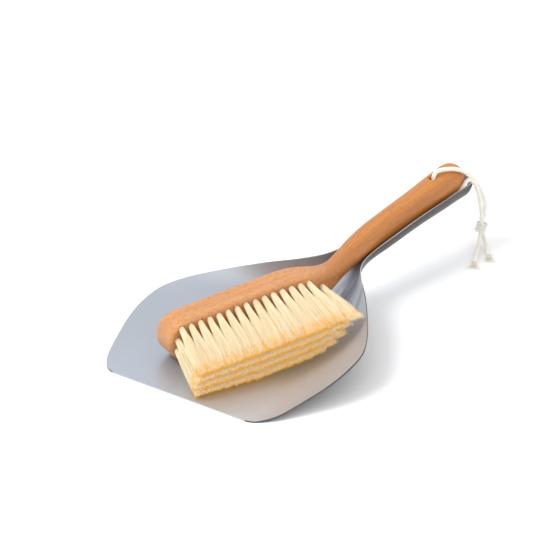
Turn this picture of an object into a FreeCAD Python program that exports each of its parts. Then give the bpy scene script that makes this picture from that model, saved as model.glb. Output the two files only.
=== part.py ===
import FreeCAD, Part
import math
import os

# Dust pan and hand brush, nested: the brush lies on its side in the pan, its handle along the pan's handle.
# Millimetres. +Z is up, +X runs from the lip to the handle end, the pan's flat underside is at Z = 0.
# The origin is below the middle of the pan. Lengths named "from_lip" are measured back from the lip.

Vector = FreeCAD.Vector

# Driving dimensions of the pan
pan_length = 360.0
sheet = 1.0
section_spacing = 6.0
profile_steps = 12
spoon_radius = 15.0
spoon_slope = 5.0

# Pan stations: from_lip, half width at the rim, rim height, floor height, width over which the wall rises.
# The floor is drawn a little below zero where it is flat, and trimmed to one plane at zero.
pan_stations = [
    (0.0, 61.0, 0.2, -0.05, 8.0),
    (3.0, 67.8, 0.35, -0.05, 9.5),
    (7.0, 72.6, 0.9, -0.05, 11.5),
    (14.0, 78.0, 2.6, -0.05, 15.0),
    (24.0, 82.6, 5.4, -0.05, 21.0),
    (36.0, 86.8, 8.9, -0.05, 30.0),
    (52.0, 92.0, 13.8, -0.05, 44.0),
    (75.0, 95.4, 20.4, -0.05, 61.0),
    (95.0, 93.2, 25.1, -0.05, 72.0),
    (112.0, 84.5, 28.4, -0.05, 71.0),
    (129.0, 72.4, 30.8, -0.05, 62.0),
    (146.0, 59.2, 32.8, 0.2, 52.0),
    (163.0, 44.9, 34.3, 3.4, 40.0),
    (180.0, 29.4, 35.4, 10.2, 26.5),
    (196.0, 18.2, 36.6, 18.0, 17.9),
    (209.0, 14.0, 37.6, 23.8, 13.8),
    (222.0, 12.7, 39.2, 26.6, 12.5),
    (241.0, 14.2, 43.0, 29.0, 14.0),
    (282.0, 14.9, 48.4, 33.7, 14.7),
    (320.0, 15.0, 51.2, 36.4, 14.8),
]
spoon_start = (345.1, 53.0)

# Driving dimensions of the brush, in its own axes: x along the block from its free end,
# y from the bristle face towards the back, z across the width of the block
block_depth = 22.0
block_half_width = 16.6
block_end_length = 16.6
arris = 2.6
block_place = (31.8, 32.8, 15.9)
block_yaw = -20.95
block_pitch = 7.62
hang_hole_x = 280.0
hang_hole_y = 72.8
hang_hole_radius = 3.0
hang_hole_mouth = 5.0
hang_hole_mouth_start = 9.9
hang_hole_mouth_end = 12.4

# Brush stations: x, middle y, tangent in degrees, half depth, half width, corner radius
brush_stations = [
    (96.0, 11.0, 0.0, 11.0, 16.6, 2.6),
    (104.0, 11.0, 0.0, 11.0, 16.5, 2.7),
    (112.0, 11.0, 0.0, 11.0, 15.9, 3.4),
    (122.0, 11.1, 2.0, 10.9, 14.2, 4.6),
    (131.0, 11.7, 8.0, 10.5, 11.9, 6.0),
    (140.0, 13.6, 17.0, 9.6, 9.6, 6.8),
    (150.0, 17.4, 25.0, 8.3, 8.3, 7.2),
    (163.0, 24.4, 28.0, 8.1, 8.4, 7.5),
    (180.0, 33.6, 27.0, 9.1, 9.4, 8.5),
    (198.6, 42.4, 23.0, 9.9, 10.2, 9.4),
    (225.0, 52.6, 20.8, 10.3, 10.6, 9.8),
    (256.0, 64.0, 20.3, 10.6, 11.0, 10.1),
    (290.0, 76.6, 20.3, 11.5, 11.9, 11.0),
    (301.0, 80.7, 20.3, 11.5, 11.9, 11.0),
]
handle_end_length = 12.2

# Tufts: rows across the block, first tuft and count along it
tuft_pitch = 7.7
tuft_root_radius = 2.2
tuft_hole_radius = 2.3
tuft_hole_depth = 9.0
bristle_length = 57.5
tuft_gap = 1.3
row_gap = 2.4
bristle_top = 10.0
bristle_top_fall = 0.018
bristle_droop = 16.5
sheet_gap = 1.0
bundle_share = 0.24
bundle_half_x = 2.75
bundle_half_z = 2.3
row_pitch = 7.8
# row z at the face, x of the first tuft, number of tufts, lean of the free-end tufts, lean of the last ones
tuft_rows = [
    (12.0, 11.2, 15, -15.5, -6.0),
    (4.2, 6.9, 17, -14.0, -5.0),
    (-3.6, 5.2, 17, -13.4, -5.0),
    (-11.4, 9.6, 15, -17.6, -6.0),
]
face_taper_start = 90.0
face_taper_length = 50.0

# Hanging cord: a loop through the handle, closed by one knot with two short frayed tails
cord_diameter = 3.6
knot_radius = 4.7

cord_over_handle = [
    (316.8, 0.6, 54.1),
    (314.8, 0.4, 69.4),
    (323.5, -2.4, 69.9),
    (332.2, -6.8, 69.2),
    (340.6, -11.4, 65.8),
    (344.2, -13.8, 62.0),
    (350.8, -16.2, 55.9),
    (358.6, -16.2, 45.6),
    (365.2, -16.3, 35.4),
    (366.4, -17.1, 27.0),
    (363.1, -18.1, 20.2),
    (357.7, -19.0, 13.4),
]
cord_under_handle = [
    (316.8, 0.6, 54.1),
    (318.6, 0.3, 39.2),
    (324.3, -5.0, 40.9),
    (331.8, -8.7, 44.4),
    (339.4, -11.95, 50.75),
    (344.6, -13.35, 58.6),
    (349.5, -16.9, 54.5),
    (354.8, -17.3, 44.0),
    (358.5, -17.2, 31.5),
    (359.9, -18.0, 22.2),
    (357.7, -19.0, 13.4),
]
cord_left_tail = [
    (357.7, -19.0, 13.4),
    (353.3, -21.4, 7.6),
    (346.6, -25.1, 4.0),
    (337.7, -29.6, 2.4),
    (326.3, -35.4, 2.1),
    (314.5, -41.4, 2.4),
]
cord_right_tail = [
    (357.7, -19.0, 13.4),
    (356.1, -22.6, 7.6),
    (352.0, -27.8, 4.0),
    (345.7, -33.3, 2.4),
    (339.2, -38.5, 2.1),
    (332.9, -43.4, 2.4),
]
fray_length = 9.0
fray_radius = 3.4

brush_place = FreeCAD.Placement(
    Vector(block_place[0] - pan_length / 2, block_place[1], block_place[2]),
    FreeCAD.Rotation(Vector(0, 1, 0), -block_pitch),
).multiply(FreeCAD.Placement(Vector(0, 0, 0), FreeCAD.Rotation(Vector(0, 0, 1), block_yaw)))


def pan_point(from_lip, y, z):
    return Vector(from_lip - pan_length / 2, y, z)


def save(shapes, node):
    """Write one node as STEP and print what it holds."""
    solids = [solid for shape in shapes for solid in shape.Solids]
    whole = solids[0] if len(solids) == 1 else Part.makeCompound(solids)
    box = whole.BoundBox
    print(node, len(solids), "solids, valid", whole.isValid(), "volume", round(whole.Volume, 1),
          "x %.1f..%.1f y %.1f..%.1f z %.1f..%.1f" % (box.XMin, box.XMax, box.YMin, box.YMax, box.ZMin, box.ZMax))
    whole.exportStep("parts/" + node + ".step")


def spline(points):
    curve = Part.BSplineCurve()
    curve.interpolate(Points=points, Parameters=[float(step) for step in range(len(points))])
    return curve.toShape()


def slope_at(table, row, column):
    """Slope of one column of a station table, from the parabola through three stations."""
    last = len(table) - 1
    if row == 0 or row == last:
        near, far = (0, 1) if row == 0 else (last - 1, last)
        return (table[far][column] - table[near][column]) / (table[far][0] - table[near][0])
    before, here, after = table[row - 1], table[row], table[row + 1]
    gap_in = here[0] - before[0]
    gap_out = after[0] - here[0]
    slope_in = (here[column] - before[column]) / gap_in
    slope_out = (after[column] - here[column]) / gap_out
    return (slope_in * gap_out + slope_out * gap_in) / (gap_in + gap_out)


def station_at(table, position):
    """A whole station between two rows of a table, on smooth curves through every column."""
    row = 0
    while row < len(table) - 2 and table[row + 1][0] < position:
        row += 1
    gap = table[row + 1][0] - table[row][0]
    share = (position - table[row][0]) / gap
    values = [position]
    for column in range(1, len(table[0])):
        start, end = table[row][column], table[row + 1][column]
        start_pull = slope_at(table, row, column) * gap
        end_pull = slope_at(table, row + 1, column) * gap
        blend = 3 * share ** 2 - 2 * share ** 3
        value = start * (1 - blend) + end * blend
        value += start_pull * (share - 2 * share ** 2 + share ** 3)
        value += end_pull * (share ** 3 - share ** 2)
        values.append(value)
    return values


def even_stations(table, spacing):
    first, last = table[0][0], table[-1][0]
    count = round((last - first) / spacing)
    return [station_at(table, first + (last - first) * step / count) for step in range(count + 1)]


# ---- the pan: one pressed sheet, flat at the lip, dished, narrowing to a half-round handle ----

def wall_profile(half_width, rim, floor, run):
    """Underside of one half section as (y, z, slope), evenly spaced: flat, then an arc up to the rim."""
    rise = rim - floor
    turn = 2 * math.atan2(rise, run)
    flat = half_width - run
    radius = run / math.sin(turn)
    length = flat + radius * turn
    points = []
    for step in range(profile_steps + 1):
        travelled = length * step / profile_steps
        if travelled <= flat:
            points.append((travelled, floor, 0.0))
        else:
            slope = (travelled - flat) / radius
            points.append((flat + radius * math.sin(slope), floor + radius * (1 - math.cos(slope)), slope))
    return points


def pan_section(from_lip, half_width, rim, floor, run):
    half = wall_profile(half_width, rim, floor, run)
    under = [pan_point(from_lip, -y, z) for y, z, slope in reversed(half[1:])]
    under += [pan_point(from_lip, y, z) for y, z, slope in half]
    upper_half = [(y - sheet * math.sin(slope), z + sheet * math.cos(slope)) for y, z, slope in half]
    upper = [pan_point(from_lip, y, z) for y, z in reversed(upper_half[1:])]
    upper += [pan_point(from_lip, -y, z) for y, z in upper_half]
    edges = [
        spline(under),
        Part.LineSegment(under[-1], upper[0]).toShape(),
        spline(upper),
        Part.LineSegment(upper[-1], under[0]).toShape(),
    ]
    return Part.Wire(edges)


def sheet_top(place):
    """Height of the sheet's upper face at a place in the pan."""
    from_lip, half_width, rim, floor, run = station_at(pan_stations, place.x + pan_length / 2)
    radius = run / math.sin(2 * math.atan2(rim - floor, run))
    past = min(run, max(0.0, abs(place.y) - (half_width - run)))
    slope = math.asin(past / radius)
    return floor + radius * (1 - math.cos(slope)) + sheet / math.cos(slope)


spoon_angle = math.radians(spoon_slope)
spoon_centre = pan_point(spoon_start[0], 0, spoon_start[1])
spoon_up = Vector(-math.sin(spoon_angle), 0, math.cos(spoon_angle))


def spoon_point(radius, angle):
    """A point of the spoon's half-round section, by angle from the +Y rim round to the -Y rim."""
    across = Vector(0, radius * math.cos(angle), 0)
    return spoon_centre + across - spoon_up * (radius * math.sin(angle))


def spoon_arc(radius, first, last):
    middle = (first + last) / 2
    return Part.Arc(spoon_point(radius, first), spoon_point(radius, middle), spoon_point(radius, last)).toShape()


def spoon_section(first, last):
    inner = spoon_radius - sheet
    edges = [
        spoon_arc(spoon_radius, first, last),
        Part.LineSegment(spoon_point(spoon_radius, last), spoon_point(inner, last)).toShape(),
        spoon_arc(inner, last, first),
        Part.LineSegment(spoon_point(inner, first), spoon_point(spoon_radius, first)).toShape(),
    ]
    return Part.Wire(edges)


def make_pan():
    sections = [pan_section(*station) for station in even_stations(pan_stations, section_spacing)]
    sections.append(spoon_section(math.pi, 0))
    blade = Part.makeLoft(sections, True, False)
    half_section = Part.Face(spoon_section(0, math.pi / 2))
    spoon = half_section.revolve(spoon_centre, spoon_up, -180)
    below = Part.makeBox(2 * pan_length, pan_length, 1.0, Vector(-pan_length, -pan_length / 2, -1.0))
    return blade.fuse(spoon).cut(below).removeSplitter()


# ---- the brush: one piece of wood, block and handle, drilled for the tufts and the cord ----

def rounded_section(x, y, tangent, half_depth, half_width, corner):
    """A rounded rectangle across the brush at one station: eight edges, four of them corner arcs."""
    angle = math.radians(tangent)
    back = Vector(-math.sin(angle), math.cos(angle), 0)
    wide = Vector(0, 0, 1)
    middle = Vector(x, y, 0)

    def place(v, w):
        return middle + back * v + wide * w

    flat_v = half_depth - corner
    flat_w = half_width - corner
    diagonal = corner * math.sqrt(0.5)
    edges = []
    for sign_v, sign_w in ((1, 1), (-1, 1), (-1, -1), (1, -1)):
        on_side = place(sign_v * half_depth, sign_w * flat_w)
        on_end = place(sign_v * flat_v, sign_w * half_width)
        middle_of_arc = place(sign_v * (flat_v + diagonal), sign_w * (flat_w + diagonal))
        first, last = (on_side, on_end) if sign_v * sign_w > 0 else (on_end, on_side)
        edges.append(Part.Arc(first, middle_of_arc, last).toShape())
        if sign_v * sign_w > 0:
            following = place(-sign_v * flat_v, sign_w * half_width)
        else:
            following = place(sign_v * half_depth, -sign_w * flat_w)
        edges.append(Part.LineSegment(last, following).toShape())
    return Part.Wire(edges)


def make_block_end():
    """The straight stretch of the block with its half-round free end and softened arrises."""
    straight = brush_stations[0][0]
    half = block_half_width
    outline = [
        Part.Arc(Vector(block_end_length, 0, half), Vector(0, 0, 0), Vector(block_end_length, 0, -half)).toShape(),
        Part.LineSegment(Vector(block_end_length, 0, -half), Vector(straight, 0, -half)).toShape(),
        Part.LineSegment(Vector(straight, 0, -half), Vector(straight, 0, half)).toShape(),
        Part.LineSegment(Vector(straight, 0, half), Vector(block_end_length, 0, half)).toShape(),
    ]
    block = Part.Face(Part.Wire(outline)).extrude(Vector(0, block_depth, 0))
    long_edges = []
    for edge in block.Edges:
        box = edge.BoundBox
        on_face = box.YMax < 0.01 or box.YMin > block_depth - 0.01
        if on_face and box.XMin < straight - 1:
            long_edges.append(edge)
    return block.makeFillet(arris, long_edges)


def make_handle():
    sections = [rounded_section(*station) for station in even_stations(brush_stations, section_spacing)]
    x, y, tangent, half_depth, half_width, corner = brush_stations[-1]
    angle = math.radians(tangent)
    for share in (0.3, 0.55, 0.75, 0.88, 0.96, 0.995):
        shrink = math.sqrt(1 - share * share)
        along = share * handle_end_length
        end_x = x + along * math.cos(angle)
        end_y = y + along * math.sin(angle)
        sections.append(rounded_section(end_x, end_y, tangent, half_depth * shrink, half_width * shrink,
                                        corner * shrink))
    return Part.makeLoft(sections, True, False)


def row_narrowing(x):
    """How far the rows close in towards the middle where the bristle face tapers."""
    past = max(0.0, x - face_taper_start) / face_taper_length
    return math.sqrt(max(0.0, 1 - past * past))


def tuft_roots(row):
    row_z, first_x, count, free_lean, last_lean = row
    roots = []
    for place in range(count):
        x = first_x + place * tuft_pitch
        roots.append((x, row_z * row_narrowing(x)))
    return roots


def make_brush_body():
    body = make_block_end().fuse(make_handle()).removeSplitter()
    holes = []
    for row in tuft_rows:
        for x, z in tuft_roots(row):
            start = Vector(x, -tuft_hole_depth, z)
            holes.append(Part.makeCylinder(tuft_hole_radius, 2 * tuft_hole_depth, start, Vector(0, 1, 0)))
    body = body.cut(holes)
    half_drill = 2 * block_half_width
    hole_base = Vector(hang_hole_x, hang_hole_y, -half_drill)
    hang_hole = [Part.makeCylinder(hang_hole_radius, 2 * half_drill, hole_base, Vector(0, 0, 1))]
    for side in (1, -1):
        base = Vector(hang_hole_x, hang_hole_y, side * hang_hole_mouth_start)
        depth = hang_hole_mouth_end - hang_hole_mouth_start
        hang_hole.append(Part.makeCone(hang_hole_radius, hang_hole_mouth, depth, base, Vector(0, 0, side)))
    body = body.cut(hang_hole)
    body.Placement = brush_place
    return body


def oval(x, y, z, half_x, half_z):
    points = []
    for step in range(12):
        angle = 2 * math.pi * step / 12
        points.append(Vector(x + half_x * math.cos(angle), y, z + half_z * math.sin(angle)))
    curve = Part.BSplineCurve()
    curve.interpolate(points, True)
    return Part.Wire(curve.toShape())


def lean_at(x, free_lean, last_lean):
    share = min(1.0, x / 125.0) ** 2
    return free_lean * (1 - share) + last_lean * share


def make_tufts(row_number):
    """One row of tufts: round in their holes, spreading into a flat trimmed end that rests near the floor."""
    row = tuft_rows[row_number]
    free_lean, last_lean = row[3], row[4]
    rise = math.cos(math.radians(block_pitch))
    tufts = []
    for x, z in tuft_roots(row):
        tip_x = x + lean_at(x, free_lean, last_lean)
        next_tip = x + tuft_pitch + lean_at(x + tuft_pitch, free_lean, last_lean)
        half_x = (next_tip - tip_x - tuft_gap) / 2
        room = []
        for corner_x in (tip_x - half_x, tip_x + half_x):
            for corner_z in (0, -bristle_droop):
                corner = brush_place.multVec(Vector(corner_x, -bristle_length, corner_z))
                room.append(corner.z - corner_z * rise - sheet_top(corner) - sheet_gap)
        top = bristle_top - bristle_top_fall * x
        low = -min(bristle_droop, min(room) / rise)
        layer = (top - low) / len(tuft_rows)
        tip_z = top - layer * (row_number + 0.5)
        half_z = (layer - row_gap) / 2
        bundle_room = (1 - bundle_share) * row_pitch * row_narrowing(x) + bundle_share * layer
        bundle_z = min(bundle_half_z, (bundle_room - tuft_gap) / 2)
        sections = [
            oval(x, tuft_hole_depth - 1, z, tuft_root_radius, tuft_root_radius),
            oval(x, 0, z, tuft_root_radius, tuft_root_radius),
            oval(x + bundle_share * (tip_x - x), -bundle_share * bristle_length, z + bundle_share * (tip_z - z),
                 bundle_half_x, bundle_z),
            oval(tip_x, -bristle_length, tip_z, half_x, half_z),
        ]
        tuft = Part.makeLoft(sections, True, True)
        tuft.Placement = brush_place
        tufts.append(tuft)
    return tufts


# ---- the cord ----

def cord_tube(route, name):
    """A tube along straight runs joined by tangent arcs. Prints the arcs' radii and checks the volume."""
    points = [pan_point(*point) for point in route]
    edges = []
    radii = []
    start = points[0]
    for before, corner, after in zip(points, points[1:], points[2:]):
        run_in = (corner - before).Length
        run_out = (after - corner).Length
        way_in = (corner - before).normalize()
        way_out = (after - corner).normalize()
        turn = way_in.getAngle(way_out)
        cut = 0.45 * min(run_in, run_out)
        radius = cut / math.tan(turn / 2)
        arc_start = corner - way_in * cut
        arc_end = corner + way_out * cut
        to_centre = (way_out - way_in).normalize()
        middle = corner + to_centre * (radius / math.cos(turn / 2) - radius)
        edges.append(Part.LineSegment(start, arc_start).toShape())
        edges.append(Part.Arc(arc_start, middle, arc_end).toShape())
        radii.append(round(radius, 1))
        start = arc_end
    edges.append(Part.LineSegment(start, points[-1]).toShape())
    path = Part.Wire(edges)
    first_way = (points[1] - points[0]).normalize()
    circle = Part.Wire(Part.Circle(points[0], first_way, cord_diameter / 2).toShape())
    tube = path.makePipeShell([circle], True, False)
    section = math.pi * cord_diameter ** 2 / 4
    print(name, "length", round(path.Length, 1), "radii", radii,
          "volume share", round(tube.Volume / (section * path.Length), 4))
    return tube


def frayed_end(route):
    """The splayed cotton past the end of a tail."""
    before = pan_point(*route[-2])
    end = pan_point(*route[-1])
    way = (end - before).normalize()
    way.z = 0.12
    return Part.makeCone(cord_diameter / 2, fray_radius, fray_length, end, way)


os.makedirs("parts", exist_ok=True)
save([make_pan()], "dustpan_sheet")
save([make_brush_body()], "brush_body")
for row_number in range(len(tuft_rows)):
    save(make_tufts(row_number), "bristle_row_" + str(row_number + 1))
save([cord_tube(cord_over_handle, "over")], "cord_over_handle")
save([cord_tube(cord_under_handle, "under")], "cord_under_handle")
save([cord_tube(cord_left_tail, "left")], "cord_left_tail")
save([cord_tube(cord_right_tail, "right")], "cord_right_tail")
save([Part.makeSphere(knot_radius, pan_point(*cord_left_tail[0]))], "cord_knot")
save([frayed_end(cord_left_tail)], "cord_left_fray")
save([frayed_end(cord_right_tail)], "cord_right_fray")
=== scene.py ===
import bpy
import bmesh
import math
import random
from mathutils import Vector, Matrix, noise


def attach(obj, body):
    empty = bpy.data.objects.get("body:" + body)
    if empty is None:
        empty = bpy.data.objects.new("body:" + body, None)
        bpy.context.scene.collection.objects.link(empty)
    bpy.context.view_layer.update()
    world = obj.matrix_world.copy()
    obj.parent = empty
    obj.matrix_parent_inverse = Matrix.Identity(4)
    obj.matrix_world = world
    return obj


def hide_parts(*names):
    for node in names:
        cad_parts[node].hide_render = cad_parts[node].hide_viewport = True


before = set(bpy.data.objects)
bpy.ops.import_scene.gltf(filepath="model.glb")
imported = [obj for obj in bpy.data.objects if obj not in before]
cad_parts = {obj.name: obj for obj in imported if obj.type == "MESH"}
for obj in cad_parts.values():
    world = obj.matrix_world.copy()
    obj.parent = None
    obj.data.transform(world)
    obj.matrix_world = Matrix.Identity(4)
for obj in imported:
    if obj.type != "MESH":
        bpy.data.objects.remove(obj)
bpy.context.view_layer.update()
scene = bpy.context.scene
mm = 0.001
black = (0, 0, 0)
white = (1, 1, 1)


class Wire:
    # a shader socket that takes part in sums: each operator adds a Math node
    def __init__(self, maker, socket):
        self.maker = maker
        self.socket = socket

    def math(self, operation, first, second):
        return self.maker.node("ShaderNodeMath", {"operation": operation}, {0: first, 1: second})

    def __add__(self, other):
        return self.math("ADD", self, other)

    def __radd__(self, other):
        return self.math("ADD", other, self)

    def __sub__(self, other):
        return self.math("SUBTRACT", self, other)

    def __rsub__(self, other):
        return self.math("SUBTRACT", other, self)

    def __mul__(self, other):
        return self.math("MULTIPLY", self, other)

    def __rmul__(self, other):
        return self.math("MULTIPLY", other, self)

    def clamp(self):
        return self.maker.node("ShaderNodeClamp", {}, {"Value": self})


class Finish:
    # one material: node() makes its nodes, done() fills the shader's own sockets
    def __init__(self, name):
        self.material = bpy.data.materials.new(name)
        self.material.use_nodes = True
        self.nodes = self.material.node_tree.nodes
        self.links = self.material.node_tree.links
        self.shader = self.nodes["Principled BSDF"]
        self.coordinates = self.nodes.new("ShaderNodeTexCoord")

    def put(self, socket, value):
        if isinstance(value, Wire):
            self.links.new(value.socket, socket)
        elif socket.type == "RGBA":
            socket.default_value = (*value, 1)
        else:
            socket.default_value = value

    def node(self, kind, settings, inputs, output=0):
        made = self.nodes.new(kind)
        for key, value in settings.items():
            if key == "stops":
                for element, (place, colour) in zip(made.color_ramp.elements, value):
                    element.position = place
                    element.color = (*colour, 1)
            else:
                setattr(made, key, value)
        for key, value in inputs.items():
            self.put(made.inputs[key], value)
        return Wire(self, made.outputs[output])

    def surface(self, kind="Object"):
        return Wire(self, self.coordinates.outputs[kind])

    def place(self, scale=(1, 1, 1), turn=(0, 0, 0), shift=(0, 0, 0), source=None):
        return self.node("ShaderNodeMapping", {}, {"Vector": source or self.surface(), "Location": shift,
                                                   "Rotation": turn, "Scale": scale})

    def noise(self, vector, scale, detail=2.0, rough=0.5, warp=0.0):
        return self.node("ShaderNodeTexNoise", {}, {"Vector": vector, "Scale": scale, "Detail": detail,
                                                    "Roughness": rough, "Distortion": warp})

    def attribute(self, name):
        return self.node("ShaderNodeAttribute", {"attribute_name": name}, {}, "Fac")

    def part(self, vector, axis):
        return self.node("ShaderNodeSeparateXYZ", {}, {"Vector": vector}, axis)

    def fade(self, value, start, end):
        # 0 at start, 1 at end
        return self.node("ShaderNodeMapRange", {"clamp": True},
                         {"Value": value, "From Min": start, "From Max": end})

    def ramp(self, value, *stops):
        return self.node("ShaderNodeValToRGB", {"stops": stops}, {"Fac": value})

    def mask(self, value, start, end):
        # black up to start, white from end
        return self.ramp(value, (start, black), (end, white))

    def mix(self, share, first, second):
        return self.node("ShaderNodeMix", {"data_type": "RGBA"}, {"Factor": share, 6: first, 7: second}, 2)

    def mixVector(self, share, first, second):
        return self.node("ShaderNodeMix", {"data_type": "VECTOR"}, {"Factor": share, 4: first, 5: second}, 1)

    def bump(self, height, strength, distance):
        return self.node("ShaderNodeBump", {}, {"Height": height, "Strength": strength, "Distance": distance})

    def done(self, sockets):
        for key, value in sockets.items():
            self.put(self.shader.inputs[key], value)
        return self.material


camera = {
    "place": (-1.3985, -1.0337, 0.8270),
    "across": (0.61627, -0.78753, 0.0),
    "up": (0.32586, 0.25500, 0.91038),
    "lens": 171.26,
    "sensor": 36,
    "farthest": 20,
}


def makeCamera():
    data = bpy.data.cameras.new("camera")
    data.lens = camera["lens"]
    data.sensor_width = camera["sensor"]
    data.clip_end = camera["farthest"]
    obj = bpy.data.objects.new("camera", data)
    across = Vector(camera["across"])
    up = Vector(camera["up"])
    turn = Matrix((across, up, across.cross(up))).transposed().to_4x4()
    obj.matrix_world = Matrix.Translation(camera["place"]) @ turn
    scene.collection.objects.link(obj)
    scene.camera = obj


makeCamera()
print("camera done")


def linkMesh(name, mesh, material):
    obj = bpy.data.objects.new(name, mesh)
    scene.collection.objects.link(obj)
    mesh.materials.clear()
    mesh.materials.append(material)
    for face in mesh.polygons:
        face.use_smooth = True
    return obj


def meshFrom(name, points, faces):
    mesh = bpy.data.meshes.new(name)
    mesh.from_pydata(points, [], faces)
    mesh.update()
    return mesh


def tubeFaces(rings, sides, first=0):
    # faces between rings of points, and one closing each end
    faces = []
    for ring in range(rings - 1):
        low = first + ring * sides
        for step in range(sides):
            following = (step + 1) % sides
            faces.append((low + step, low + following, low + sides + following, low + sides + step))
    last = first + (rings - 1) * sides
    faces.append(tuple(first + step for step in reversed(range(sides))))
    faces.append(tuple(last + step for step in range(sides)))
    return faces


def plainMesh(holder):
    # what an object's spline or modifiers give, as a mesh of its own
    bpy.context.view_layer.update()
    mesh = bpy.data.meshes.new_from_object(holder.evaluated_get(bpy.context.evaluated_depsgraph_get()))
    bpy.data.objects.remove(holder)
    return mesh


def dress(nodeName, material):
    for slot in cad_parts[nodeName].material_slots:
        slot.material = material


# the brush's own axes: x along the block, y from the bristle face to the back, z across the block
brushPlace = {"origin": (-0.1482, 0.0328, 0.0159), "yaw": -20.95, "pitch": 7.62}
brushMatrix = (
    Matrix.Translation(brushPlace["origin"])
    @ Matrix.Rotation(math.radians(-brushPlace["pitch"]), 4, "Y")
    @ Matrix.Rotation(math.radians(brushPlace["yaw"]), 4, "Z")
)


def onBrush(x, y, z):
    return brushMatrix @ Vector((x * mm, y * mm, z * mm))


cord = {
    "diameter": 0.0036,
    "plies": 3,
    "twistLength": 0.0085,      # for one full turn of the plies
    "sides": 24,
    "ringStep": 0.0006,
    "hollow": 0.72,             # radius between two plies, as a share
    "ply": 0.32,                # what a ply adds to it
    "plyRound": 0.7,
    "uneven": 0.05,
    "unevenScale": 900,
    "unevenTurn": 1.5,
    "colour": (0.93, 0.88, 0.79),
    "shade": (0.70, 0.62, 0.50),
    "pale": (0.97, 0.94, 0.88),
    # painted light: the cord glows a little in its own colour, the loose ends more
    "glow": 0.06,
    "looseGlow": 0.14,
    "fibreScale": (900, 900, 2600),
    "patchScale": 260.0,
    "patchShare": 0.5,
    "rough": 0.9,
    "sheen": 0.35,
}


def smoothLine(route):
    # the route's own smooth spline, and the points along it
    data = bpy.data.curves.new("route", "CURVE")
    data.dimensions = "3D"
    data.resolution_u = 24
    spline = data.splines.new("NURBS")
    spline.points.add(len(route) - 1)
    for point, place in zip(spline.points, route):
        point.co = (*place, 1)
    spline.order_u = 3
    spline.use_endpoint_u = True
    holder = bpy.data.objects.new("route", data)
    scene.collection.objects.link(holder)
    mesh = plainMesh(holder)
    points = [vertex.co.copy() for vertex in mesh.vertices]
    bpy.data.meshes.remove(mesh)
    return points


def spaced(points, step):
    # the same line with points a fixed distance apart
    nearest = 0.3       # of a step, below which the end gets no ring of its own
    line = [points[0]]
    left = step
    for start, end in zip(points, points[1:]):
        gap = (end - start).length
        travelled = 0.0
        while gap - travelled >= left and gap > 0:
            travelled += left
            line.append(start.lerp(end, travelled / gap))
            left = step
        left -= gap - travelled
    if (line[-1] - points[-1]).length > step * nearest:
        line.append(points[-1].copy())
    return line


def twistedTube(name, line, radius):
    # the plies laid round each other, as one closed skin with a lobe for each
    sides = cord["sides"]
    points = []
    side = (line[1] - line[0]).orthogonal().normalized()
    travelled = 0.0
    for row, place in enumerate(line):
        ahead = line[min(row + 1, len(line) - 1)]
        behind = line[max(row - 1, 0)]
        way = (ahead - behind).normalized()
        side = (side - way * side.dot(way)).normalized()
        up = way.cross(side)
        if row:
            travelled += (place - line[row - 1]).length
        twist = 2 * math.pi * travelled / cord["twistLength"]
        for step in range(sides):
            angle = 2 * math.pi * step / sides
            lobe = abs(math.cos(cord["plies"] / 2 * angle))
            reach = radius * (cord["hollow"] + cord["ply"] * lobe ** cord["plyRound"])
            ripple = Vector((math.cos(angle), math.sin(angle), 0)) * cord["unevenTurn"]
            reach *= 1 + cord["uneven"] * noise.noise(place * cord["unevenScale"] + ripple)
            turned = angle + twist
            points.append(place + (side * math.cos(turned) + up * math.sin(turned)) * reach)
    return meshFrom(name, points, tubeFaces(len(line), sides))


def cottonMaterial(name, glow):
    finish = Finish(name)
    fibres = finish.noise(finish.place(cord["fibreScale"]), scale=3.0, detail=3.0, rough=0.6)
    patches = finish.noise(finish.place(), scale=cord["patchScale"])
    shade = finish.ramp(fibres, (0.25, cord["shade"]), (0.55, cord["colour"]))
    colour = finish.mix(patches * cord["patchShare"], shade, cord["pale"])
    return finish.done({
        "Base Color": colour,
        "Roughness": cord["rough"],
        "Normal": finish.bump(fibres, strength=0.7, distance=0.0004),
        "Sheen Weight": cord["sheen"],
        # painted light: a faint glow that lightens the cotton
        "Emission Color": colour,
        "Emission Strength": glow,
    })


cotton = cottonMaterial("twisted_cotton", cord["glow"])
looseCotton = cottonMaterial("loose_cotton", cord["looseGlow"])

cordRoutes = {
    "over": [
        (0.1368, 0.0006, 0.0541), (0.1348, 0.0004, 0.0694), (0.1435, -0.0024, 0.0699),
        (0.1522, -0.0068, 0.0692), (0.1606, -0.0114, 0.0658), (0.1642, -0.0138, 0.0620),
        (0.1708, -0.0162, 0.0559), (0.1786, -0.0162, 0.0456), (0.1852, -0.0163, 0.0354),
        (0.1864, -0.0171, 0.0270), (0.1831, -0.0181, 0.0202), (0.1777, -0.0190, 0.0134),
    ],
    "under": [
        (0.1368, 0.0006, 0.0541), (0.1386, 0.0003, 0.0392), (0.1443, -0.0050, 0.0409),
        (0.1518, -0.0087, 0.0444), (0.1594, -0.01195, 0.05075), (0.1646, -0.01335, 0.0586),
        (0.1695, -0.0169, 0.0545), (0.1748, -0.0173, 0.0440), (0.1785, -0.0172, 0.0315),
        (0.1799, -0.0180, 0.0222), (0.1777, -0.0190, 0.0134),
    ],
    "left": [
        (0.1777, -0.0190, 0.0134), (0.1733, -0.0214, 0.0076), (0.1666, -0.0251, 0.0040),
        (0.1577, -0.0296, 0.0024), (0.1463, -0.0354, 0.0021), (0.1345, -0.0414, 0.0024),
    ],
    "right": [
        (0.1777, -0.0190, 0.0134), (0.1761, -0.0226, 0.0076), (0.1720, -0.0278, 0.0040),
        (0.1657, -0.0333, 0.0024), (0.1592, -0.0385, 0.0021), (0.1529, -0.0434, 0.0024),
    ],
}

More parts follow.
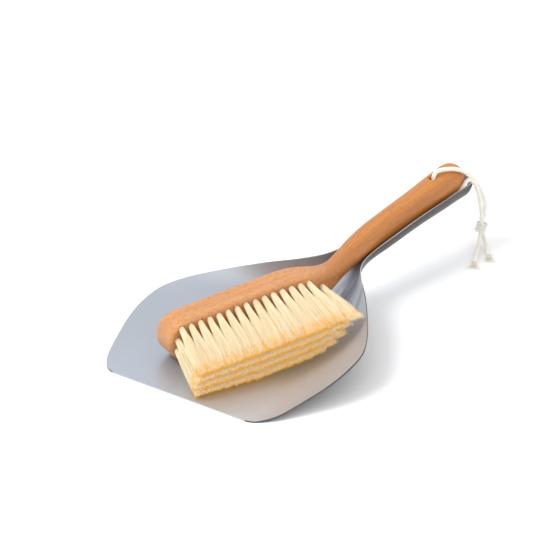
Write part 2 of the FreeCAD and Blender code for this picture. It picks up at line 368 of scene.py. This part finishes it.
knotShape = {
    "axis": (0.30, -0.16, 0.94),
    "turns": 2.7,               # round the four ends
    "turnSteps": 60,
    "height": 0.0070,
    "rise": 0.0008,             # how far a turn strays along the knot
    "riseWaves": 3,
    "reach": 0.0033,
    "uneven": 0.0007,           # and how far out
    "unevenWaves": 2,
    "unevenShift": 1,
    "turnThick": 0.42,          # radius of the turns, as a share of the cord's diameter
    "crossSteps": 24,           # the strand that crosses over the turns
    "crossWay": (0.6, 0.8),
    "crossHeight": 0.0050,
    "crossReach": 0.0052,
    "crossLean": 0.0016,
    "crossThick": 0.40,
}


def makeKnot(centre):
    axis = Vector(knotShape["axis"]).normalized()
    side = axis.orthogonal().normalized()
    up = axis.cross(side)
    turns = []
    for step in range(knotShape["turnSteps"] + 1):
        share = step / knotShape["turnSteps"]
        angle = 2 * math.pi * knotShape["turns"] * share
        stray = math.sin(knotShape["riseWaves"] * angle)
        swell = math.sin(knotShape["unevenWaves"] * angle + knotShape["unevenShift"])
        along = knotShape["height"] * (share - 0.5) + knotShape["rise"] * stray
        reach = knotShape["reach"] + knotShape["uneven"] * swell
        turns.append(centre + axis * along + (side * math.cos(angle) + up * math.sin(angle)) * reach)
    near, far = knotShape["crossWay"]
    outward = side * near - up * far
    sideways = side * far + up * near
    crossing = []
    for step in range(knotShape["crossSteps"] + 1):
        angle = math.pi * (step / knotShape["crossSteps"] - 0.5)
        height = knotShape["crossHeight"] * math.sin(angle)
        reach = knotShape["crossReach"] * math.cos(angle)
        lean = knotShape["crossLean"] * math.sin(angle)
        crossing.append(centre + axis * height + outward * reach + sideways * lean)
    joined = bmesh.new()
    joined.from_mesh(twistedTube("turns", turns, cord["diameter"] * knotShape["turnThick"]))
    joined.from_mesh(twistedTube("crossing", crossing, cord["diameter"] * knotShape["crossThick"]))
    mesh = bpy.data.meshes.new("knot")
    joined.to_mesh(mesh)
    joined.free()
    return mesh


fray = {
    "fibres": 80,
    "sides": 3,
    "bends": 6,
    "back": 0.003,              # how far inside the tail the fibres start
    "aimRings": 6,              # rings of the tail that give its direction
    "radius": 0.0015,
    "length": (0.005, 0.0115),
    "spread": 0.5,
    "stray": 0.15,
    "curl": 0.9,
    "bow": 0.35,
    "thick": (0.00013, 0.00024),
    "taper": 0.6,
    "lowest": 0.0004,           # above the floor
}


def makeFray(name, line, seed):
    # loose cotton fibres spreading from the end of a tail
    chance = random.Random(seed)
    end = line[-1]
    way = (end - line[-fray["aimRings"]]).normalized()
    side = way.orthogonal().normalized()
    up = way.cross(side)
    sides, bends = fray["sides"], fray["bends"]
    points, faces = [], []
    for number in range(fray["fibres"]):
        angle = chance.uniform(0, 2 * math.pi)
        reach = math.sqrt(chance.random())
        outward = side * math.cos(angle) + up * math.sin(angle)
        place = end - way * fray["back"] + outward * (fray["radius"] * reach)
        length = chance.uniform(*fray["length"])
        spread = fray["spread"] * reach + chance.uniform(-fray["stray"], fray["stray"])
        curl = chance.uniform(-fray["curl"], fray["curl"])
        thick = chance.uniform(*fray["thick"])
        direction = (way + outward * spread).normalized()
        bend = direction.cross(Vector((chance.uniform(-1, 1), chance.uniform(-1, 1), 1))).normalized()
        across = direction.cross(bend)
        faces += tubeFaces(bends + 1, sides, len(points))
        for row in range(bends + 1):
            share = row / bends
            bow = curl * length * fray["bow"] * share * share
            middle = place + direction * (length * share) + bend * bow
            middle.z = max(middle.z, fray["lowest"])
            width = thick * (1 - fray["taper"] * share)
            for corner in range(sides):
                turn = 2 * math.pi * corner / sides
                points.append(middle + (bend * math.cos(turn) + across * math.sin(turn)) * width)
    return meshFrom(name, points, faces)


def makeCords():
    lines = {name: spaced(smoothLine(route), cord["ringStep"]) for name, route in cordRoutes.items()}
    made = {}
    for name, line in lines.items():
        mesh = twistedTube("cord_" + name, line, cord["diameter"] / 2)
        made[name] = linkMesh("cord_" + name, mesh, cotton)
    centre = Vector(cordRoutes["left"][0])
    knot = linkMesh("cord_tied_knot", makeKnot(centre), cotton)
    leftFray = linkMesh("cord_left_ends", makeFray("leftEnds", lines["left"], seed=11), looseCotton)
    rightFray = linkMesh("cord_right_ends", makeFray("rightEnds", lines["right"], seed=12), looseCotton)
    for piece in (*made.values(), knot, leftFray, rightFray):
        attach(piece, "brush")
    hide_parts("cord_over_handle")
    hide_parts("cord_under_handle")
    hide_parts("cord_left_tail")
    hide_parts("cord_right_tail")
    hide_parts("cord_knot")
    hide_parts("cord_left_fray")
    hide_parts("cord_right_fray")


makeCords()
print("cords done")


steel = {
    # cool and warm: painted reflection, bluish towards the far side, lighter and warmer towards the near side
    "cool": (0.43, 0.48, 0.55),
    "warm": (0.58, 0.585, 0.60),
    "coolToWarm": (0.03, -0.06),            # across the pan
    "stain": (0.44, 0.46, 0.50),
    "paintedReflection": (0.045, 0.050, 0.060),       # painted dark reflection, darker where the sheet is drawn in to the neck
    "neckPlace": (-0.006, -0.020, 0.016),
    "neckReach": 0.036,
    "neckCore": 0.016,
    # painted shade and dark reflection on the outer faces
    "paintedOutsideShade": (0.045, 0.036, 0.026),
    "outsideFade": (0.003, 0.010),
    "brushed": (30, 900, 900),
    "streaks": (12, 110, 30),
    "warmShare": 0.8,
    "cloudShare": 0.3,
    "stainShare": 0.3,
    "paintedReflectionShare": 0.55,
    "outsideShare": 0.93,
    "rough": 0.38,
    "roughMiddle": 0.09,                    # what the two noises add on average
    "brushedRough": 0.10,
    "cloudRough": 0.08,
    "metallic": 0.60,
}


def steelMaterial():
    finish = Finish("satin_steel")
    along = finish.noise(finish.place(steel["brushed"]), scale=4.0, detail=4.0, rough=0.6)
    cloud = finish.noise(finish.place(), scale=14.0, detail=3.0)
    stain = finish.noise(finish.place(), scale=70.0, detail=4.0, rough=0.65)
    sideways = finish.part(finish.place(), "Y")
    # painted reflection: lighter and warmer towards the near side, with random clouds of tone mixed in
    near = finish.fade(sideways, *steel["coolToWarm"])
    warmth = near * steel["warmShare"] + cloud * steel["cloudShare"]
    colour = finish.mix(warmth.clamp(), steel["cool"], steel["warm"])
    colour = finish.mix(stain * steel["stainShare"], colour, steel["stain"])

    # painted dark reflection: dark streaks round the neck, fading outwards
    reach = finish.node("ShaderNodeVectorMath", {"operation": "DISTANCE"},
                        {0: finish.place(), 1: steel["neckPlace"]}, "Value")
    neck = finish.fade(reach, steel["neckReach"], steel["neckCore"])
    streaks = finish.noise(finish.place(steel["streaks"]), scale=1.0, detail=1.0, rough=0.4)
    streak = finish.ramp(streaks, (0.46, white), (0.60, (0.1, 0.1, 0.1)))
    colour = finish.mix(neck * streak * steel["paintedReflectionShare"], colour, steel["paintedReflection"])

    # painted shade and dark reflection on faces that look away from the pan's middle line
    outward = finish.part(finish.surface("Normal"), "Y") * sideways
    paintedOutsideShade = finish.fade(outward, *steel["outsideFade"])
    uneven = along * steel["brushedRough"] + cloud * steel["cloudRough"]
    return finish.done({
        "Base Color": finish.mix(paintedOutsideShade * steel["outsideShare"], colour, steel["paintedOutsideShade"]),
        "Roughness": uneven + (steel["rough"] - steel["roughMiddle"]),
        "Normal": finish.bump(along, strength=0.10, distance=0.0002),
        "Metallic": steel["metallic"],
    })


dress("dustpan_sheet", steelMaterial())
print("steel done")


beech = {
    "light": (0.64, 0.30, 0.105),           # the block
    "dark": (0.57, 0.215, 0.036),           # the handle
    "lightGrain": (0.46, 0.18, 0.065),
    "darkGrain": (0.34, 0.11, 0.03),
    "fleck": (0.38, 0.130, 0.036),
    "bend": (0.118, 0.150),                 # where the block gives way to the handle
    "handleTurn": -20.3,
    "lines": (14, 420, 420),
    "bands": (5, 90, 90),
    "flecks": (300, 800, 800),
    "lineShare": 0.6,
    "bandShare": 0.5,
    "fleckShare": 0.5,
    "rough": 0.42,
    "lineRough": 0.12,
    "coat": 0.12,
    "coatRough": 0.35,
}


def beechMaterial():
    finish = Finish("oiled_beech")
    inward = brushMatrix.inverted()
    block = finish.place(turn=inward.to_euler("XYZ"), shift=inward.translation)
    handle = finish.place(turn=(0, 0, math.radians(beech["handleTurn"])), source=block)
    past = finish.fade(finish.part(block, "X"), *beech["bend"])
    wood = finish.mixVector(past, block, handle)
    lines = finish.noise(finish.place(beech["lines"], source=wood), scale=1.0, detail=4.0, rough=0.6, warp=0.3)
    bands = finish.noise(finish.place(beech["bands"], source=wood), scale=1.0, detail=3.0, warp=0.8)
    flecks = finish.noise(finish.place(beech["flecks"], source=wood), scale=1.0, detail=1.0)
    base = finish.mix(past, beech["light"], beech["dark"])
    deep = finish.mix(past, beech["lightGrain"], beech["darkGrain"])
    colour = finish.mix(finish.mask(bands, 0.35, 0.7) * beech["bandShare"], base, deep)
    colour = finish.mix(finish.mask(lines, 0.45, 0.75) * beech["lineShare"], colour, deep)
    colour = finish.mix(finish.mask(flecks, 0.55, 0.64) * beech["fleckShare"], colour, beech["fleck"])
    return finish.done({
        "Base Color": colour,
        "Roughness": lines * beech["lineRough"] + beech["rough"],
        "Normal": finish.bump(lines, strength=0.25, distance=0.0003),
        "Coat Weight": beech["coat"],
        "Coat Roughness": beech["coatRough"],
    })


dress("brush_body", beechMaterial())
print("beech done")


# every tuft is a bundle of fibres, fanning from its hole to the trimmed end
bristle = {
    "pitch": 7.7,               # millimetres, as are the next nine
    "rootRadius": 2.1,
    "rootDepth": 1.0,
    "length": 57.5,
    "top": 10.0,
    "droop": 16.5,
    "sheetGap": 1.0,
    "leanLength": 125.0,        # along the block, until the lean is that of the last tufts
    "roundStart": 90.0,         # where the block's outline begins to draw in
    "roundLength": 50.0,
    "topFall": 0.018,
    "rowFill": 0.41,            # share of a layer that a row's tips fill, each way from its middle
    "sideFill": 0.52,
    "fibres": 250,
    "thickness": 0.125,
    "stray": 0.25,
    "spread": 1.05,
    "width": (0.7, 1.35),
    "trim": (0.965, 1.0),
    "recess": 0.045,            # how much shorter the lower fibres of a row are
    "fluff": (20, 84, 84, 84),  # curled ends on each tuft, row by row
    "fluffThickness": 0.75,
    "fluffBack": (-0.13, -0.03),
    "fluffSide": 1.1,
    "fluffHeight": (0.62, 1.12),
    "fluffStray": 0.4,
    "fluffLength": (0.002, 0.0038),
    "seed": 7,
    "rowSeed": 100,
    "cream": ((0.90, 0.75, 0.49), (0.95, 0.86, 0.66)),
    # painted shade: the deep orange of the shaded fibres inside each tuft and under each row's end
    "deep": ((0.88, 0.40, 0.0), (0.97, 0.56, 0.008)),
    "streak": (0.97, 0.86, 0.62),
    "streakScale": 420.0,
    "streakShare": 0.15,
    # painted light: the orange glow at the shaded row ends
    "tipLight": (1.0, 0.66, 0.03),
    "tipBand": (0.78, 0.93),    # along a fibre
    "innerEdge": 0.6,           # inside it a tuft's fibres get painted shade, a deeper orange
    "innerShare": 0.7,
    "lowEdge": 0.72,            # below the middle of a row, where its tips get painted shade too
    "lowSlope": 2.2,
    "dimming": 0.5,
    "rough": 0.6,
    "specular": 0.15,
    "glow": 0.22,
}
# row z at the face, x of the first tuft, count, lean of the free-end tufts, lean of the last ones
bristleRows = [
    (12.0, 11.2, 15, -15.5, -6.0),
    (4.2, 6.9, 17, -14.0, -5.0),
    (-3.6, 5.2, 17, -13.4, -5.0),
    (-11.4, 9.6, 15, -17.6, -6.0),
]


def sheetTop(place):
    # height of the pan at a place, looking down on it
    above = 0.2
    start = Vector((place.x, place.y, above))
    hit, found, normal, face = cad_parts["dustpan_sheet"].ray_cast(start, Vector((0, 0, -1)))
    return found.z if hit else 0.0


def leanAt(x, freeLean, lastLean):
    share = min(1.0, x / bristle["leanLength"]) ** 2
    return freeLean * (1 - share) + lastLean * share


def tuftPoints(rowNumber):
    # one vertex for each tuft, at its root, with where its fibres end as attributes
    rowZ, firstX, count, freeLean, lastLean = bristleRows[rowNumber]
    turn = brushMatrix.to_3x3()
    rise = math.cos(math.radians(brushPlace["pitch"]))
    roots, tips, sides, crosses = [], [], [], []
    for number in range(count):
        x = firstX + number * bristle["pitch"]
        past = max(0.0, x - bristle["roundStart"]) / bristle["roundLength"]
        z = rowZ * math.sqrt(max(0.0, 1 - past * past))
        tipX = x + leanAt(x, freeLean, lastLean)
        nextTip = x + bristle["pitch"] + leanAt(x + bristle["pitch"], freeLean, lastLean)
        room = []       # between the tips' corners and the sheet
        for cornerX in (tipX, nextTip):
            for cornerZ in (0.0, -bristle["droop"]):
                corner = onBrush(cornerX, -bristle["length"], cornerZ)
                room.append((corner.z - sheetTop(corner)) / mm - cornerZ * rise - bristle["sheetGap"])
        top = bristle["top"] - bristle["topFall"] * x
        low = -min(bristle["droop"], min(room) / rise)
        layer = (top - low) / len(bristleRows)
        roots.append(onBrush(x, bristle["rootDepth"], z))
        tips.append(onBrush(tipX, -bristle["length"], top - layer * (rowNumber + 0.5)))
        sides.append(turn @ Vector(((nextTip - tipX) * bristle["sideFill"] * mm, 0, 0)))
        crosses.append(turn @ Vector((0, 0, layer * bristle["rowFill"] * mm)))
    mesh = meshFrom("tufts", roots, [])
    for name, vectors in (("tipPlace", tips), ("tipSide", sides), ("tipCross", crosses)):
        stored = mesh.attributes.new(name, "FLOAT_VECTOR", "POINT")
        stored.data.foreach_set("vector", [number for vector in vectors for number in vector])
    return mesh


fibreShape = {
    "rows": 5,
    "sides": 3,
    "taper": 0.45,
    "bendShare": 0.8,       # of half a wave
    "waveTurn": 7,          # radians over the fibre
}


def makeFibre(name, radius, bend, wave=0.0):
    # one fibre a unit long on +Z, tapering to a fine end, bent to one side
    rows, sides = fibreShape["rows"], fibreShape["sides"]
    points, along = [], []
    for row in range(rows + 1):
        share = row / rows
        aside = bend * math.sin(math.pi * share * fibreShape["bendShare"]) ** 2
        middle = Vector((aside, wave * math.sin(fibreShape["waveTurn"] * share), share))
        width = radius * (1 - fibreShape["taper"] * share ** 2)
        for corner in range(sides):
            angle = 2 * math.pi * corner / sides
            points.append(middle + Vector((width * math.cos(angle), width * math.sin(angle), 0)))
            along.append(share)
    mesh = meshFrom(name, points, tubeFaces(rows + 1, sides))
    mesh.attributes.new("along", "FLOAT", "POINT").data.foreach_set("value", along)
    obj = bpy.data.objects.new(name, mesh)
    scene.collection.objects.link(obj)
    return obj


class Tree:
    # a Geometry Nodes tree, node by node
    def __init__(self, name, inputs):
        self.group = bpy.data.node_groups.new(name, "GeometryNodeTree")
        self.group.interface.new_socket("Geometry", in_out="INPUT", socket_type="NodeSocketGeometry")
        self.sockets = {}
        for title, kind in inputs.items():
            self.sockets[title] = self.group.interface.new_socket(title, in_out="INPUT", socket_type=kind)
        self.group.interface.new_socket("Geometry", in_out="OUTPUT", socket_type="NodeSocketGeometry")
        self.given = self.group.nodes.new("NodeGroupInput").outputs
        self.result = self.group.nodes.new("NodeGroupOutput")

    def node(self, kind, settings, inputs, output=0):
        made = self.group.nodes.new(kind)
        for key, value in settings.items():
            setattr(made, key, value)
        for key, value in inputs.items():
            for single in value if isinstance(value, list) else [value]:      # a list joins on one socket
                if isinstance(single, bpy.types.NodeSocket):
                    self.group.links.new(single, made.inputs[key])
                else:
                    made.inputs[key].default_value = single
        return made.outputs[output]

    def chance(self, low, high, salt, kind="FLOAT"):
        seed = self.maths("ADD", self.given["Seed"], salt)
        lowest, highest, drawn = {"FLOAT": (2, 3, 1), "FLOAT_VECTOR": (0, 1, 0)}[kind]
        return self.node("FunctionNodeRandomValue", {"data_type": kind},
                         {lowest: low, highest: high, "Seed": seed}, drawn)

    def maths(self, operation, first, second=0.0):
        return self.node("ShaderNodeMath", {"operation": operation}, {0: first, 1: second})

    def add(self, first, second):
        return self.node("ShaderNodeVectorMath", {"operation": "ADD"}, {0: first, 1: second})

    def subtract(self, first, second):
        return self.node("ShaderNodeVectorMath", {"operation": "SUBTRACT"}, {0: first, 1: second})

    def scale(self, vector, size):
        return self.node("ShaderNodeVectorMath", {"operation": "SCALE"}, {0: vector, "Scale": size})

    def named(self, title, kind="FLOAT_VECTOR"):
        return self.node("GeometryNodeInputNamedAttribute", {"data_type": kind}, {"Name": title})

    def store(self, geometry, title, value, kind="FLOAT"):
        return self.node("GeometryNodeStoreNamedAttribute", {"data_type": kind, "domain": "POINT"},
                         {"Geometry": geometry, "Name": title, "Value": value})

    def copies(self, amount):
        return self.node("GeometryNodeDuplicateElements", {"domain": "POINT"},
                         {"Geometry": self.given["Geometry"], "Amount": amount})


def longFibres(tree):
    # points in a disc at each tuft's hole, each with its way to the trimmed end
    turn = brushMatrix.to_3x3()
    alongBlock = tuple(turn @ Vector((1, 0, 0)))
    acrossBlock = tuple(turn @ Vector((0, 0, 1)))
    stray = bristle["stray"]
    angle = tree.chance(0.0, 2 * math.pi, 1)
    reach = tree.maths("POWER", tree.chance(0.0, 1.0, 2), 0.5)
    discX = tree.maths("MULTIPLY", tree.maths("COSINE", angle), reach)
    discY = tree.maths("MULTIPLY", tree.maths("SINE", angle), reach)
    rootX = tree.scale(alongBlock, tree.maths("MULTIPLY", discX, tree.given["Root radius"]))
    rootY = tree.scale(acrossBlock, tree.maths("MULTIPLY", discY, tree.given["Root radius"]))
    root = tree.add(tree.node("GeometryNodeInputPosition", {}, {}), tree.add(rootX, rootY))
    spreadX = tree.maths("MULTIPLY", tree.maths("ADD", discX, tree.chance(-stray, stray, 3)), bristle["spread"])
    spreadY = tree.maths("ADD", discY, tree.chance(-stray, stray, 4))
    tipX = tree.scale(tree.named("tipSide"), spreadX)
    tipY = tree.scale(tree.named("tipCross"), spreadY)
    way = tree.subtract(tree.add(tree.named("tipPlace"), tree.add(tipX, tipY)), root)
    length = tree.node("ShaderNodeVectorMath", {"operation": "LENGTH"}, {0: way}, 1)
    lowShare = tree.maths("ADD", tree.maths("MULTIPLY", discY, -0.5), 0.5)
    recess = tree.maths("MULTIPLY", lowShare, bristle["recess"])
    trimmed = tree.maths("SUBTRACT", tree.chance(*bristle["trim"], 5), recess)
    points = tree.store(tree.copies(tree.given["Fibres"]), "tone", tree.chance(0.0, 1.0, 6))
    points = tree.store(points, "inner", reach)
    points = tree.store(points, "low", tree.maths("MULTIPLY", discY, -1.0))
    points = tree.store(points, "way", way, "FLOAT_VECTOR")
    points = tree.store(points, "shown", tree.maths("MULTIPLY", length, trimmed))
    points = tree.node("GeometryNodeSetPosition", {}, {"Geometry": points, "Position": root})
    return points, tree.named("shown", "FLOAT")


def curledEnds(tree):
    # points round the tips for the short curled ends that make the trimmed end soft
    side, wild = bristle["fluffSide"], bristle["fluffStray"]
    tipWay = tree.subtract(tree.named("tipPlace"), tree.node("GeometryNodeInputPosition", {}, {}))
    back = tree.scale(tipWay, tree.chance(*bristle["fluffBack"], 11))
    height = tree.chance(*bristle["fluffHeight"], 13)
    endX = tree.scale(tree.named("tipSide"), tree.chance(-side, side, 12))
    endY = tree.scale(tree.named("tipCross"), height)
    root = tree.add(tree.add(tree.named("tipPlace"), back), tree.add(endX, endY))
    way = tree.add(tree.node("ShaderNodeVectorMath", {"operation": "NORMALIZE"}, {0: tipWay}),
                   tree.chance((-wild, -wild, -wild), (wild, wild, wild), 15, "FLOAT_VECTOR"))
    points = tree.store(tree.copies(tree.given["Fluff"]), "tone", tree.chance(0.0, 1.0, 14))
    points = tree.store(points, "inner", 1.0)
    points = tree.store(points, "low", tree.maths("MULTIPLY", height, -1.0))
    points = tree.store(points, "way", way, "FLOAT_VECTOR")
    points = tree.node("GeometryNodeSetPosition", {}, {"Geometry": points, "Position": root})
    return points, tree.chance(*bristle["fluffLength"], 16)


def bristleTree():
    tree = Tree("tuftFibres", {"Fibres": "NodeSocketInt", "Fluff": "NodeSocketInt",
                               "Root radius": "NodeSocketFloat", "Seed": "NodeSocketInt",
                               "Fibre": "NodeSocketObject", "Curl": "NodeSocketObject",
                               "Material": "NodeSocketMaterial"})
    spin = tree.node("ShaderNodeCombineXYZ", {}, {"Z": tree.chance(0.0, 2 * math.pi, 7)})
    spun = tree.node("FunctionNodeEulerToRotation", {}, {0: spin})
    aligned = tree.node("FunctionNodeAlignRotationToVector", {"axis": "Z"},
                        {"Rotation": spun, "Vector": tree.named("way")})
    width = tree.chance(*bristle["width"], 8)
    grown = []
    for title, (points, length) in (("Curl", curledEnds(tree)), ("Fibre", longFibres(tree))):
        shape = tree.node("GeometryNodeObjectInfo", {}, {"Object": tree.given[title]}, "Geometry")
        size = tree.node("ShaderNodeCombineXYZ", {}, {"X": width, "Y": width, "Z": length})
        grown.append(tree.node("GeometryNodeInstanceOnPoints", {},
                               {"Points": points, "Instance": shape, "Rotation": aligned, "Scale": size}))
    joined = tree.node("GeometryNodeJoinGeometry", {}, {0: grown})
    real = tree.node("GeometryNodeRealizeInstances", {}, {"Geometry": joined})
    painted = tree.node("GeometryNodeSetMaterial", {}, {"Geometry": real, "Material": tree.given["Material"]})
    tree.group.links.new(painted, tree.result.inputs[0])
    return tree


def bristleMaterial():
    finish = Finish("natural_bristle")
    tone = finish.attribute("tone")
    cream = finish.mix(tone, *bristle["cream"])
    deep = finish.mix(tone, *bristle["deep"])
    # painted shade: the middle fibres of a tuft and the lower tips of each row turn deep orange
    innerShade = (bristle["innerEdge"] - finish.attribute("inner")) * bristle["innerShare"]
    colour = finish.mix(innerShade.clamp(), cream, deep)
    low = ((finish.attribute("low") + bristle["lowEdge"]) * bristle["lowSlope"]).clamp()
    under = low * finish.mask(finish.attribute("along"), *bristle["tipBand"])
    streaks = finish.noise(finish.place(), scale=bristle["streakScale"])
    colour = finish.mix(streaks * bristle["streakShare"], colour, bristle["streak"])
    colour = finish.mix(under, colour, deep)
    # painted light: the fibres glow in their own dimmed colour, orange at the shaded row ends
    dim = finish.mix(bristle["dimming"], colour, black)
    return finish.done({
        "Base Color": colour,
        "Roughness": bristle["rough"],
        "Specular IOR Level": bristle["specular"],
        "Emission Color": finish.mix(under, dim, bristle["tipLight"]),
        "Emission Strength": bristle["glow"],
    })


def makeBristles():
    hair = bristleMaterial()
    thickness = bristle["thickness"]
    fibre = makeFibre("fibre", thickness * mm, bend=0.0011)
    curl = makeFibre("curl", thickness * bristle["fluffThickness"] * mm, bend=0.0013, wave=0.0006)
    tree = bristleTree()
    made = []
    for rowNumber in range(len(bristleRows)):
        holder = bpy.data.objects.new("tufts", tuftPoints(rowNumber))
        scene.collection.objects.link(holder)
        modifier = holder.modifiers.new("fibres", "NODES")
        modifier.node_group = tree.group
        values = {"Fibres": bristle["fibres"], "Fluff": bristle["fluff"][rowNumber],
                  "Root radius": bristle["rootRadius"] * mm,
                  "Seed": bristle["seed"] + bristle["rowSeed"] * rowNumber,
                  "Fibre": fibre, "Curl": curl, "Material": hair}
        for title, value in values.items():
            modifier[tree.sockets[title].identifier] = value
        mesh = plainMesh(holder)
        made.append(linkMesh("bristle_tufts_" + str(rowNumber + 1), mesh, hair))
        print("row", rowNumber + 1, len(mesh.polygons), "faces")
    bpy.data.objects.remove(fibre)
    bpy.data.objects.remove(curl)
    for rowNumber, piece in enumerate(made):
        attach(piece, "brush")
        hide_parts("bristle_row_" + str(rowNumber + 1))


makeBristles()
print("bristles done")


stage = {
    "floorSize": 6.0,
    "floorColour": (0.93, 0.93, 0.93),
    "floorRough": 0.8,
    "worldColour": (0.97, 0.98, 1.0, 1),
    "worldStrength": 1.0,
    "cardColour": (0.01, 0.01, 0.012),      # gives the steel something dark to reflect
    "cardRough": 1.0,
    "cardCorners": [(-0.35, 0.9, 0.12), (0.30, 0.9, 0.12), (0.30, 0.9, 0.75), (-0.35, 0.9, 0.75)],
    "lights": {
        "key": {"place": (-0.9, 0.9, 1.6), "size": 1.1, "power": 22.0, "colour": white},
        "fill": {"place": (-0.6, -1.6, 0.9), "size": 1.4, "power": 5.0, "colour": (1, 0.95, 0.88)},
    },
}


def makePlane(name, corners, material):
    plane = linkMesh(name, meshFrom(name, corners, [(0, 1, 2, 3)]), material)
    return plane


def makeLight(name, light):
    # a soft disc aimed at the middle of the set
    data = bpy.data.lights.new(name, "AREA")
    data.shape = "DISK"
    data.size = light["size"]
    data.energy = light["power"]
    data.color = light["colour"]
    obj = bpy.data.objects.new(name, data)
    obj.location = light["place"]
    obj.rotation_euler = (-Vector(light["place"])).to_track_quat("-Z", "Y").to_euler()
    scene.collection.objects.link(obj)


def makeStage():
    size = stage["floorSize"]
    corners = [(-size, -size, 0), (size, -size, 0), (size, size, 0), (-size, size, 0)]
    pale = Finish("pale_floor").done({"Base Color": stage["floorColour"], "Roughness": stage["floorRough"]})
    dark = Finish("dark_card").done({"Base Color": stage["cardColour"], "Roughness": stage["cardRough"]})
    makePlane("floor", corners, pale)
    card = makePlane("card", stage["cardCorners"], dark)
    card.visible_camera = False
    card.visible_diffuse = False
    card.visible_shadow = False
    world = bpy.data.worlds.new("world")
    world.use_nodes = True
    background = world.node_tree.nodes["Background"]
    background.inputs["Color"].default_value = stage["worldColour"]
    background.inputs["Strength"].default_value = stage["worldStrength"]
    scene.world = world
    for name, light in stage["lights"].items():
        makeLight(name, light)
    scene.view_settings.view_transform = "Standard"


makeStage()
print("stage done")
